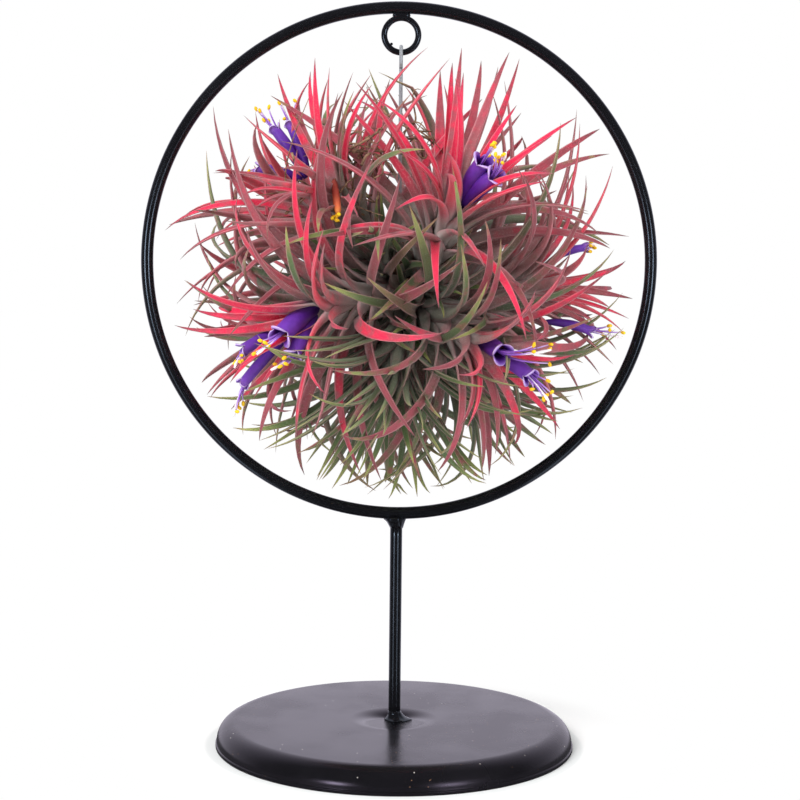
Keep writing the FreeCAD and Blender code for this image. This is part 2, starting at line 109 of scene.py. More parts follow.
class Skin:
    """Rings of points gathered into one mesh, with numbers on its points for the material."""

    def __init__(self):
        self.points = []
        self.faces = []
        self.slots = []
        self.values = {}

    def add(self, rings, loop=False, slot=0, **values):
        """Rings as rows x columns x 3. A loop joins its last ring to its first."""
        rings = np.asarray(rings, float)
        rows, columns = rings.shape[:2]
        start = len(self.points)
        self.points.extend(rings.reshape(-1, 3).tolist())
        for label, numbers in values.items():
            spread = np.broadcast_to(np.asarray(numbers, float), (rows, columns))
            self.values.setdefault(label, []).extend(spread.ravel().tolist())
        before = len(self.faces)
        for row in range(rows if loop else rows - 1):
            low = start + row * columns
            high = start + (row + 1) % rows * columns
            for column in range(columns):
                after = (column + 1) % columns
                self.faces.append((low + column, low + after, high + after, high + column))
        if not loop:
            self.faces.append(tuple(start + column for column in range(columns)))
            last = start + (rows - 1) * columns
            self.faces.append(tuple(last + column for column in range(columns)))
        self.slots.extend([slot] * (len(self.faces) - before))

    def piece(self, name, body, materials, replaced=()):
        """Turn what was gathered into a piece that rides on a body."""
        mesh = bpy.data.meshes.new(name)
        mesh.from_pydata(self.points, [], self.faces)
        for label, numbers in self.values.items():
            attribute = mesh.attributes.new(label, "FLOAT", "POINT")
            attribute.data.foreach_set("value", numbers)
        for material in materials:
            mesh.materials.append(material)
        mesh.polygons.foreach_set("material_index", self.slots)
        work = bmesh.new()
        work.from_mesh(mesh)
        bmesh.ops.recalc_face_normals(work, faces=work.faces)
        work.to_mesh(mesh)
        work.free()
        mesh.shade_smooth()
        made = bpy.data.objects.new(name, mesh)
        bpy.context.scene.collection.objects.link(made)
        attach(made, body)
        if replaced:
            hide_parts(*replaced)
        return made


def arc(centre, radius, start, end, count):
    """Points of a flat arc, angles in degrees."""
    angles = np.radians(np.linspace(start, end, count))
    return [(centre[0] + radius * math.cos(angle), centre[1] + radius * math.sin(angle))
            for angle in angles]


def lathe(outline, steps, upright=False, height=0.0):
    """Rings of a closed outline turned round Z, or round Y for a thing that stands upright."""
    outline = np.asarray(outline, float)
    rings = []
    for angle in np.arange(steps) * FULL_TURN / steps:
        reach_x = outline[:, 0] * math.cos(angle)
        reach_y = outline[:, 0] * math.sin(angle)
        if upright:
            rings.append(np.stack((reach_x, outline[:, 1], reach_y + height), axis=1))
        else:
            rings.append(np.stack((reach_x, reach_y, outline[:, 1] + height), axis=1))
    return np.array(rings)


def tube(line, radii, sides):
    """Rings of a round tube along a line of points."""
    line = np.asarray(line, float)
    headings = unit(np.gradient(line, axis=0))
    side = np.cross(headings[0], SKEW)
    angles = np.arange(sides) * FULL_TURN / sides
    rings = []
    for place, heading, radius in zip(line, headings, np.broadcast_to(radii, len(line))):
        side = unit(side - heading * np.dot(side, heading))
        across = np.cross(heading, side)
        rings.append(place + radius * (np.outer(np.cos(angles), side)
                                       + np.outer(np.sin(angles), across)))
    return np.array(rings)


def bezier(points, count):
    """Points along a Bezier curve of any order."""
    shares = np.linspace(0, 1, count)[:, None]
    rows = [np.broadcast_to(np.asarray(point, float), (count, 3)) for point in points]
    while len(rows) > 1:
        rows = [low + (high - low) * shares for low, high in zip(rows, rows[1:])]
    return rows[0]


def lumps(points, size, height):
    """Uneven height for each point, from smooth noise with features of a given size."""
    return np.array([height * noise.noise(Vector(point) / size) for point in points])


class Finish:
    """A procedural material, built node by node round one Principled shader."""

    def __init__(self, name, **settings):
        self.data = bpy.data.materials.new(name)
        self.data.use_nodes = True
        self.tree = self.data.node_tree
        self.shader = self.tree.nodes["Principled BSDF"]
        self.place = self.node("ShaderNodeTexCoord").outputs["Object"]
        for label, setting in settings.items():
            spoken = label.replace("_", " ").title().replace("Ior", "IOR")
            self.shader.inputs[spoken].default_value = setting

    def node(self, kind, **settings):
        made = self.tree.nodes.new(kind)
        for field, setting in settings.items():
            setattr(made, field, setting)
        return made

    def feed(self, socket, source):
        """Link another node's output to a socket, or set the socket to a value."""
        if isinstance(source, bpy.types.NodeSocket):
            self.tree.links.new(source, socket)
        else:
            socket.default_value = source

    def give(self, label, source):
        """Feed one input of the shader."""
        self.feed(self.shader.inputs[label], source)

    def value(self, label):
        """A number that the mesh carries on its points."""
        return self.node("ShaderNodeAttribute", attribute_name=label).outputs["Fac"]

    def noise(self, size, detail=2.0, roughness=0.5):
        """Noise with features of a given size in metres."""
        made = self.node("ShaderNodeTexNoise")
        self.feed(made.inputs["Vector"], self.place)
        made.inputs["Scale"].default_value = 1 / size
        made.inputs["Detail"].default_value = detail
        made.inputs["Roughness"].default_value = roughness
        return made.outputs["Fac"]

    def dots(self, size, reach):
        """1 inside small round dots, one in each cell of a given size."""
        made = self.node("ShaderNodeTexVoronoi")
        self.feed(made.inputs["Vector"], self.place)
        made.inputs["Scale"].default_value = 1 / size
        return self.remap(made.outputs["Distance"], reach, reach * 0.6, 0, 1)

    def remap(self, source, low, high, first, last):
        """Smooth step of a number from one range to another."""
        made = self.node("ShaderNodeMapRange", interpolation_type="SMOOTHSTEP")
        for index, number in enumerate((source, low, high, first, last)):
            self.feed(made.inputs[index], number)
        return made.outputs[0]

    def math(self, operation, first, second):
        made = self.node("ShaderNodeMath", operation=operation)
        self.feed(made.inputs[0], first)
        self.feed(made.inputs[1], second)
        return made.outputs[0]

    def mix(self, share, first, second, blend="MIX"):
        """Colour between two colours: sockets 6 and 7 of the node."""
        made = self.node("ShaderNodeMix", data_type="RGBA", blend_type=blend)
        self.feed(made.inputs[0], share)
        self.feed(made.inputs[6], first)
        self.feed(made.inputs[7], second)
        return made.outputs[2]

    def ramp(self, share, stops):
        """Colour along a row of stops: place, red, green, blue."""
        made = self.node("ShaderNodeValToRGB")
        elements = made.color_ramp.elements
        while len(elements) < len(stops):
            elements.new(0.5)
        for element, (place, *colour) in zip(elements, stops):
            element.position = place
            element.color = linear(*colour)
        self.feed(made.inputs[0], share)
        return made.outputs[0]

    def bump(self, height, distance, strength=1.0):
        made = self.node("ShaderNodeBump")
        made.inputs["Strength"].default_value = strength
        made.inputs["Distance"].default_value = distance
        self.feed(made.inputs["Height"], height)
        self.give("Normal", made.outputs[0])


PAINT_GRAIN = 0.9 * MM
PAINT_CLOUD = 22 * MM
PAINT_RELIEF = 0.02 * MM
PAINT_DARK = (13, 13, 15)
PAINT_PALE = (24, 23, 27)
DUST_CELL = 5 * MM
DUST = (170, 166, 160)
GOLD_CELL = 2.2 * MM
GOLD_PATCH = 26 * MM
GOLD = (146, 112, 84)


def black_paint(name, roughness, gloss, tint, specks, grit):
    """Satin paint with fine grain, dust, patches of gold specks and faint smudges."""
    finish = Finish(name, specular_ior_level=gloss, specular_tint=linear(*tint))
    grain = finish.noise(PAINT_GRAIN, 3)
    cloud = finish.noise(PAINT_CLOUD, 3)
    dust = finish.dots(DUST_CELL, specks)
    patches = finish.remap(finish.noise(GOLD_PATCH), 0.46, 0.6, 0, 1)
    gold = finish.math("MULTIPLY", patches, finish.dots(GOLD_CELL, specks * 1.6))
    ground = finish.mix(cloud, linear(*PAINT_DARK), linear(*PAINT_PALE))
    ground = finish.mix(gold, ground, linear(*GOLD))
    finish.give("Base Color", finish.mix(dust, ground, linear(*DUST)))
    finish.give("Roughness", finish.remap(cloud, 0.35, 0.7, roughness - 0.04, roughness + 0.06))
    finish.bump(finish.math("ADD", grain, dust), PAINT_RELIEF, grit)
    return finish.data


ZINC_MOTTLE = 0.7 * MM
ZINC_DULL = (130, 134, 139)
ZINC_BRIGHT = (184, 188, 192)


def galvanised():
    """Bright grey wire with a dull, slightly mottled skin."""
    finish = Finish("galvanised_wire", metallic=0.3)
    mottle = finish.noise(ZINC_MOTTLE, 3)
    finish.give("Base Color", finish.mix(mottle, linear(*ZINC_DULL), linear(*ZINC_BRIGHT)))
    finish.give("Roughness", finish.remap(mottle, 0.3, 0.7, 0.28, 0.5))
    finish.bump(mottle, 0.03 * MM, 0.6)
    return finish.data


BARK_RIDGE = 2.2 * MM
BARK_RELIEF = 0.6 * MM


def root_brown(name, dark, pale):
    """Root wood and dried fibres: brown, ridged, with darker hollows."""
    finish = Finish(name, roughness=0.85)
    bark = finish.noise(BARK_RIDGE, 5, 0.65)
    finish.give("Base Color", finish.mix(finish.remap(bark, 0.35, 0.65, 0, 1), dark, pale))
    finish.bump(bark, BARK_RELIEF)
    return finish.data


LEAF_BLOTCH = 4 * MM
LEAF_SCALE = 0.5 * MM
LEAF_RELIEF = 0.16 * MM
# Shares of flush between which a leaf goes from green to dusky, and from dusky to red.
DUSKY_SHARES = (0.12, 0.42)
RED_SHARES = (0.5, 0.88)
OLD_RED = (112, 56, 62)
SCALE_WHITE = (196, 194, 186)
MARGIN_PINK = (236, 176, 180)
UNDER_GREY = (168, 160, 152)


def leaf_skin(name, green_stops, dusky_stops, flushed_stops):
    """Silvery at its root, then green or flushed, with pale scales, pale margins, a dry tip."""
    finish = Finish(name, roughness=0.5, sheen_weight=0.12, sheen_roughness=0.4)
    along = finish.value("along")
    blush = finish.value("blush")
    tone = finish.value("tone")
    blotch = finish.noise(LEAF_BLOTCH, 3)
    green = finish.ramp(along, green_stops)
    dusky = finish.ramp(along, dusky_stops)
    flushed = finish.ramp(along, flushed_stops)
    share = finish.math("ADD", blush, finish.remap(blotch, 0.3, 0.7, -0.14, 0.14))
    colour = finish.mix(finish.remap(share, *DUSKY_SHARES, 0, 1), green, dusky)
    colour = finish.mix(finish.remap(share, *RED_SHARES, 0, 1), colour, flushed)
    colour = finish.mix(finish.remap(tone, 0.3, 1, 0, 0.6), colour, linear(*OLD_RED))
    scales = finish.noise(LEAF_SCALE, 2, 0.7)
    scaly = finish.remap(scales, 0.5, 0.72, 0, 1)
    reach = finish.remap(along, 0.0, 0.7, 0.55, 0.1)
    colour = finish.mix(finish.math("MULTIPLY", scaly, reach), colour, linear(*SCALE_WHITE))
    margin = finish.remap(finish.value("across"), 0.7, 1.0, 0, 0.42)
    colour = finish.mix(margin, colour, linear(*MARGIN_PINK))
    under = finish.math("MULTIPLY", finish.value("under"), 0.2)
    colour = finish.mix(under, colour, linear(*UNDER_GREY))
    finish.give("Base Color", colour)
    finish.bump(scales, LEAF_RELIEF, 0.6)
    return finish.data


PETAL_MOTTLE = 1.5 * MM
PETAL_GRAIN = 0.6 * MM
PETAL_RELIEF = 0.05 * MM


def plain_finish(name, roughness, stops):
    """Colour that runs along a piece, with a little mottling."""
    finish = Finish(name, roughness=roughness)
    mottle = finish.remap(finish.noise(PETAL_MOTTLE, 3), 0.3, 0.7, 0.0, 0.25)
    colour = finish.ramp(finish.value("along"), stops)
    finish.give("Base Color", finish.mix(mottle, colour, linear(255, 255, 255), "SOFT_LIGHT"))
    finish.bump(finish.noise(PETAL_GRAIN), PETAL_RELIEF, 0.5)
    return finish.data


# Paint: roughness, gloss, tint of the gloss, reach of its specks, strength of its grain.
BASE_PAINT = black_paint("base_paint", 0.24, 0.5, (246, 236, 255), 0.055, 0.3)
ROD_PAINT = black_paint("rod_paint", 0.17, 0.65, (214, 244, 255), 0.02, 0.12)
WIRE = galvanised()
WOOD = root_brown("root_wood", linear(58, 42, 32), linear(128, 98, 76))
FIBRE = root_brown("dried_fibre", linear(86, 62, 50), linear(158, 126, 100))
# Colours from the root of a leaf (0) to its tip (1).
GREEN_STOPS = ((0.0, 164, 168, 158), (0.16, 122, 130, 114), (0.4, 82, 98, 72),
               (0.75, 92, 112, 66), (0.93, 146, 152, 84), (1.0, 150, 116, 80))
DUSKY_STOPS = ((0.0, 204, 202, 196), (0.16, 176, 166, 160), (0.32, 154, 110, 110),
               (0.6, 168, 78, 90), (0.9, 146, 70, 80), (1.0, 112, 80, 74))
RED_STOPS = ((0.0, 204, 202, 196), (0.16, 186, 172, 170), (0.3, 200, 86, 106),
             (0.45, 222, 30, 72), (0.82, 228, 40, 80), (0.94, 172, 52, 78), (1.0, 116, 80, 78))
LEAF = leaf_skin("leaf", GREEN_STOPS, DUSKY_STOPS, RED_STOPS)
PETAL = plain_finish("petal", 0.4, ((0.0, 52, 16, 96), (0.45, 74, 28, 128), (0.8, 104, 56, 166),
                                    (0.95, 136, 96, 188), (1.0, 196, 172, 224)))
FILAMENT = plain_finish("filament", 0.45, ((0.0, 90, 40, 150), (0.7, 150, 100, 200),
                                           (1.0, 206, 180, 226)))
ANTHER = plain_finish("anther", 0.7, ((0.0, 236, 176, 20), (1.0, 250, 206, 40)))
STYLE = plain_finish("style", 0.5, ((0.0, 190, 160, 216), (1.0, 246, 240, 240)))
DRIED = plain_finish("dried_petal", 0.6, ((0.0, 120, 52, 46), (0.5, 186, 72, 56),
                                          (0.85, 214, 104, 66), (1.0, 206, 130, 60)))


BASE_STEPS = 192
RING_STEPS = 288
STEM_SIDES = 40


def make_base():
    """Pressed steel base: an inverted dish with a rounded shoulder and a small rolled lip."""
    sheet = 1.2 * MM
    shoulder = 6.0 * MM
    lip = 0.4 * MM
    bore = STEM_RADIUS + 0.05 * MM
    wall = BASE_RADIUS - lip
    edge = 0.2 * MM
    outline = [(bore, BASE_TOP - sheet), (bore, BASE_TOP)]
    outline += [(between(bore, wall - shoulder, share), BASE_TOP) for share in (0.25, 0.5, 0.75)]
    outline += arc((wall - shoulder, BASE_TOP - shoulder), shoulder, 90, 0, 24)
    outline += arc((wall + edge, sheet + edge), edge, 180, 270, 6)
    outline += arc((BASE_RADIUS - edge, sheet - edge), edge, 90, 0, 6)
    outline += [(BASE_RADIUS, edge), (BASE_RADIUS - edge, 0.0), (wall - sheet, 0.0)]
    outline += arc((wall - shoulder, BASE_TOP - shoulder), shoulder - sheet, 0, 90, 12)
    skin = Skin()
    skin.add(lathe(outline, BASE_STEPS), loop=True)
    return skin.piece("base", "stand", [BASE_PAINT], ["base_plate"])


def make_rods():
    """Stem, big ring and small ring, as round as drawn rod is."""
    skin = Skin()
    heights = np.linspace(stem_low.z, stem_high.z, 12)
    line = [(0, 0, height) for height in heights]
    skin.add(tube(line, STEM_RADIUS, STEM_SIDES))
    skin.piece("stem_rod", "stand", [ROD_PAINT], ["stem"])
    for name, node, radius, rod, height, sides in (
            ("ring_rod", "ring", RING_RADIUS, ROD, RING_CENTRE, 32),
            ("eye_rod", "eye_loop", EYE_RADIUS, EYE_WIRE, EYE_CENTRE, 24)):
        skin = Skin()
        outline = arc((radius, 0), rod, 0, 360 * (1 - 1 / sides), sides)
        skin.add(lathe(outline, RING_STEPS, upright=True, height=height), loop=True)
        skin.piece(name, "stand", [ROD_PAINT], [node])


# Levels of the beads round the stem's ends: radius, shift to the right and height (mm), at the
# foot above the base and at the head above the lowest point of the ring.
FOOT_LEVELS = ((4.4, 1.1, 0.0), (4.3, 1.1, 0.15), (3.6, 0.85, 0.4), (3.0, 0.55, 0.8),
               (2.6, 0.3, 1.3), (2.3, 0.15, 2.0), (2.12, 0.0, 2.8))
FOOT_ENDS = (0.0, 2.9)
HEAD_LEVELS = ((2.15, 0.0, -2.9), (2.5, -0.15, -1.8), (3.0, -0.35, -0.8), (3.5, -0.5, 0.0),
               (3.4, -0.5, 0.7))
HEAD_ENDS = (-3.0, 0.9)
BEAD_LUMP = 1.6 * MM
BEAD_ROUGH = 0.16
# Web between the two rings (mm): half its length, its depth below the ring, how much lower its
# ends are, its radius.
WEB_HALF = 2.9
WEB_DEPTH = 0.35
WEB_DROP = 0.25
WEB_RADIUS = 1.15
WEB_LUMP = 1.3 * MM
WEB_ROUGH = 0.2
# Drops of weld that stuck to the small ring: pixel and radius (mm). Their distance before the
# ring's plane (mm), and the heights and radii of their rings as shares of the drop's radius.
SPATTER = ((387.5, 27, 0.5), (391.5, 44, 0.5), (409, 20, 0.45))
SPATTER_FORWARD = 1.2
DROP_HEIGHTS = (-0.9, -0.5, 0.1, 0.6, 0.9)
DROP_RADII = (0.3, 0.85, 1.0, 0.75, 0.2)


def bead(levels, ends, ground, sides, seed):
    """Rings of an uneven weld bead round the stem, closed inside the stem at both ends."""
    inside = STEM_RADIUS * 0.5
    rows = [(inside, 0, ground + ends[0] * MM)]
    rows += [(radius * MM, shift * MM, ground + rise * MM) for radius, shift, rise in levels]
    rows += [(inside, 0, ground + ends[1] * MM)]
    angles = np.arange(sides) * FULL_TURN / sides
    rings = []
    for radius, shift, height in rows:
        ring = np.stack((radius * np.cos(angles) + shift, radius * np.sin(angles),
                         np.full(sides, height)), axis=1)
        lift = 1 + lumps(ring + seed, BEAD_LUMP, BEAD_ROUGH)
        ring[:, :2] *= lift[:, None]
        rings.append(ring)
    return np.array(rings)


def make_welds():
    """Beads at the foot and the head of the stem, and between the two rings."""
    skin = Skin()
    skin.add(bead(FOOT_LEVELS, FOOT_ENDS, BASE_TOP, 48, 0.01))
    skin.piece("foot_bead", "stand", [ROD_PAINT], ["base_weld"])
    seat = RING_CENTRE - RING_RADIUS - ROD
    skin = Skin()
    skin.add(bead(HEAD_LEVELS, HEAD_ENDS, seat, 40, 0.02))
    skin.piece("head_bead", "stand", [ROD_PAINT], ["ring_weld"])
    top = RING_CENTRE + RING_RADIUS - ROD
    shares = np.linspace(-1, 1, 17)
    line = [(share * WEB_HALF * MM, 0, top - WEB_DEPTH * MM - WEB_DROP * MM * share * share)
            for share in shares]
    radii = WEB_RADIUS * MM * np.sqrt(np.clip(1 - shares ** 4, 0.02, 1))
    rings = tube(line, radii, 20)
    middle = np.asarray(line)[:, None, :]
    swell = 1 + lumps(rings.reshape(-1, 3), WEB_LUMP, WEB_ROUGH).reshape(rings.shape[:2])
    skin = Skin()
    skin.add(middle + (rings - middle) * swell[:, :, None])
    for across, down, size in SPATTER:
        spot = photo_point(across, down, SPATTER_FORWARD)
        skin.add(tube([spot + UP * size * MM * place for place in DROP_HEIGHTS],
                      size * MM * np.array(DROP_RADII), 10))
    skin.piece("eye_bead", "stand", [ROD_PAINT], ["eye_weld"])


def make_wire():
    """Hook over the small ring, a crank to the middle, a shank through the core, a foot."""
    wire = 0.6 * MM
    bend = EYE_WIRE + 0.25 * MM + wire
    crank = 2.5 * MM
    slope = math.radians(30)
    leg = 3.0 * MM
    foot = 1.8 * MM
    toe = 3.6 * MM
    tip = 5.5 * MM
    foot_level = core_low.z - 0.3 * MM - wire
    run = (bend - 2 * crank * (1 - math.cos(slope))) / math.sin(slope)
    lower_y = bend - crank * (1 - math.cos(slope)) - run * math.sin(slope)
    lower_z = -leg - crank * math.sin(slope) - run * math.cos(slope)
    flat = [(-bend, -tip), (-bend, -2.5 * MM)]
    flat += arc((0, 0), bend, 180, 0, 15)
    flat += [(bend, -leg / 2)]
    flat += arc((bend - crank, -leg), crank, 0, -30, 5)
    flat += arc((lower_y + crank * math.cos(slope), lower_z - crank * math.sin(slope)),
                crank, 150, 180, 5)
    bottom = foot_level - PIVOT + foot
    flat += [(0, between(flat[-1][1], bottom, share)) for share in (0.2, 0.4, 0.6, 0.8, 0.98)]
    flat += arc((foot, bottom), foot, 180, 270, 8)
    flat += [(toe - 0.1 * MM, foot_level - PIVOT), (toe, foot_level - PIVOT)]
    line = [(0, across, PIVOT + height) for across, height in flat]
    radii = np.full(len(line), wire)
    radii[0] = radii[-1] = wire * 0.86
    skin = Skin()
    skin.add(tube(line, radii, 20))
    skin.piece("hook_wire", "hanger", [WIRE], ["hanging_wire"])


def make_core():
    """Knobbly root wood, with the straight bore for the wire down its middle."""
    bore = 0.68 * MM
    flare = 1.6 * MM
    smooth_reach = 4.5 * MM
    reach = CORE_RADIUS
    outline = [(bore, reach)] + arc((0, 0), reach, 84, -80, 22)
    outline += [(bore + flare, -reach), (bore, -reach + flare)]
    rings = lathe(outline, 48)
    points = rings.reshape(-1, 3)
    rough = 1 + lumps(points, 6 * MM, 0.10) + lumps(points, 2.2 * MM, 0.06)
    free = np.linalg.norm(points[:, :2], axis=1) > smooth_reach
    points[free] *= rough[free][:, None]
    skin = Skin()
    skin.add(rings + BALL_CENTRE, loop=True)
    skin.piece("core_wood", "plant_ball", [WOOD], ["root_core"])


def camera_matrix():
    tilt = Matrix.Rotation(math.pi / 2 - CAMERA_PITCH, 4, "X")
    return Matrix.Translation(CAMERA_PLACE) @ tilt @ Matrix.Rotation(CAMERA_ROLL, 4, "Z")


def photo_point(across, down, forward):
    """The point that shows at a pixel of the photograph, a distance (mm) before the ring."""
    half = PHOTO_SIDE / 2
    ray = camera_matrix().to_3x3() @ Vector(((across - half) / FOCAL_PIXELS,
                                             (half - down) / FOCAL_PIXELS, -1))
    reach = (-forward * MM - CAMERA_PLACE[1]) / ray.y
    return CAMERA_PLACE + np.array(ray) * reach


# Where each plant grows: foot and mouth of its leafy stem. Plants that the photograph shows
# well have both as pixel and distance before the ring's plane (mm), and the others an azimuth
# and an elevation from the ball's centre.
PLANT_PLACES = {
    "left_front": ((396, 288, 13), (320, 311, 37)),
    "upper_left_front": ((384, 262, 6), (338, 196, 24)),
    "upper_right_front": ((427, 274, 11), (452, 207, 34)),
    "right_front": ((410, 296, 13), (476, 343, 38)),
    "lower_front": ((400, 310, 8), (396, 378, 28)),
    "right": ((436, 300, 4), (528, 288, 12)),
    "upper_left_back": (-108, 36),
    "left_back": (-99, -20),
    "lower_right_back": (98, -50),
    "upper_back": (143, 50),
    "right_back": (142, -8),
    "back": (-156, 0),
    "lower_left_back": (-159, -56),
}
# How each plant grows: leaves, length of a leaf (mm), spread of the oldest and the youngest
# leaves (degrees), flush of the oldest and the youngest leaves, how much tips turn up (below 0:
# down), breadth, and the seed of its chances.
PLANT_HABITS = {
    "left_front": (38, 76, 128, 36, 0.5, 1.0, 0.9, 1.1, 30),
    "upper_left_front": (36, 66, 116, 34, 0.3, 0.9, 0.7, 0.98, 18),
    "upper_right_front": (38, 72, 118, 34, 0.5, 0.98, 0.5, 1.08, 20),
    "right_front": (38, 72, 124, 38, 0.2, 0.8, 0.5, 1.04, 27),
    "lower_front": (54, 74, 84, 16, 0.0, 0.04, -0.35, 0.94, 35),
    "right": (36, 74, 106, 34, 0.4, 0.85, 0.9, 1.0, 35),
    "upper_left_back": (36, 70, 110, 32, 0.4, 0.92, 0.7, 0.96, 26),
    "left_back": (36, 70, 108, 30, 0.15, 0.65, 0.8, 0.96, 11),
    "lower_right_back": (38, 64, 100, 24, 0.0, 0.12, 0.2, 0.96, 10),
    "upper_back": (36, 64, 104, 30, 0.15, 0.8, 0.5, 0.96, 39),
    "right_back": (36, 66, 108, 32, 0.2, 0.75, 0.7, 0.96, 8),
    "back": (38, 66, 112, 34, 0.35, 0.9, 0.6, 1.0, 3),
    "lower_left_back": (38, 66, 96, 22, 0.0, 0.12, 0.1, 0.96, 2),
}
# Young offsets that grow beside three of the plants: foot, mouth and how they grow.
OFFSETS = {
    "upper_left_front": ((392, 284, 8), (380, 252, 24),
                         (14, 30, 80, 14, 0.0, 0.12, 0.1, 0.78, 51)),
    "right_front": ((410, 290, 8), (438, 284, 30),
                    (14, 28, 90, 16, 0.02, 0.2, 0.1, 0.78, 53)),
    "left_front": ((398, 300, 8), (378, 322, 30),
                   (12, 28, 90, 16, 0.02, 0.25, 0.0, 0.78, 50)),
}
# From the ball's centre to the foot and the mouth of a stem that has an azimuth.
STEM_REACHES = (14 * MM, 40 * MM)
LEAF_STEPS = 18
LEAF_SHARES = np.linspace(0, 1, LEAF_STEPS)
# Half width and hollow of a leaf from its root to its tip.
LEAF_WIDTH = np.interp(LEAF_SHARES, (0, 0.1, 0.25, 0.5, 0.75, 0.93, 1),
                       (0.95, 0.88, 0.66, 0.48, 0.31, 0.12, 0.012))
LEAF_HOLLOW = np.interp(LEAF_SHARES, (0, 0.1, 0.3, 0.8, 1), (0.9, 0.85, 0.55, 0.45, 0.3))
# Places across a leaf: the hollow upper face, then back along the keel.
UPPER = np.array((-1, -0.5, 0, 0.5, 1))
LOWER = np.array((0.55, 0, -0.55))
LEAF_THICKNESS = 0.55 * MM
# From the oldest leaf to the youngest: radius of the stem where it sits, angle at which it
# starts (degrees), half its width, its length as a share, its old red tone.
STEM_GIRTH = (4.8 * MM, 1.4 * MM)
START_ANGLES = (24, 6)
HALF_WIDTHS = (3.9 * MM, 2.7 * MM)
LENGTH_SHARES = (1.0, 0.6)
TONE_SHARES = (1.0, 0.4)
# Share of the stem that bears leaves.
BEARING = 0.86
# Chance from leaf to leaf: spread of its turn, start, end, sway, curl, twist and flush, and
# range of its length, rise and width.
TURN_SPREAD = 0.2
START_SPREAD = 4
FINISH_SPREAD = 13
SWAY_SPREAD = 0.45
CURL_MEAN = 0.3
CURL_SPREAD = 0.5
TWIST_SPREAD = 0.4
BLUSH_SPREAD = 0.18
LENGTH_RANGE = (0.78, 1.15)
RISE_RANGE = (0.5, 1.5)
WIDTH_RANGE = (0.8, 1.12)
# What a leaf loses in bend, length and flush where it crosses the face, and in flush where it
# droops.
CROSSING_BEND = 0.3
CROSSING_LENGTH = 0.25
CROSSING_FLUSH = 0.5
DROOPING_FLUSH = 0.35
# How often, and by how much at a time, leaves that reach too far are shortened.
TRIALS = 30
SHORTER = 0.95
# Everything on the ball stays inside this distance from the ring's centre, below the hook
# and off the wire, so that the ball turns and swings freely.
CLEAR_REACH = 77.6 * MM
CLEAR_HOOK = 9 * MM
CLEAR_TOPS = (PIVOT - 6.5 * MM, PIVOT - 0.5 * MM)
CLEAR_WIRE = 3.4 * MM


def off_the_wire(places):
    """Push points away from the wire's line, the nearer the more."""
    flat = places[..., :2]
    distance = np.linalg.norm(flat, axis=-1, keepdims=True)
    moved = np.sqrt(distance ** 2 + CLEAR_WIRE ** 2) / np.maximum(distance, 1e-6)
    return np.concatenate((flat * moved, places[..., 2:]), axis=-1)


def too_far(places):
    """Which leaves leave the free space inside the ring."""
    away = np.linalg.norm(places - (0, 0, RING_CENTRE), axis=-1).max(axis=1)
    aside = np.linalg.norm(places[..., :2], axis=-1) > CLEAR_HOOK
    high = places[..., 2] > np.where(aside, CLEAR_TOPS[1], CLEAR_TOPS[0])
    return (away > CLEAR_REACH) | high.any(axis=1)


def crossed(mouth, outward):
    """How much a leaf heads for the middle of the ball's face, in the shade of its neighbours."""
    aside = (mouth - BALL_CENTRE) * (1, 0, 1)
    return np.clip(-outward @ unit(aside), 0, 1)


def stem_of(name):
    """Foot and mouth of a plant's leafy stem."""
    place = PLANT_PLACES[name]
    if isinstance(place[0], tuple):
        return [photo_point(*spot) for spot in place]
    axis = direction(*place)
    return [BALL_CENTRE + axis * reach for reach in STEM_REACHES]


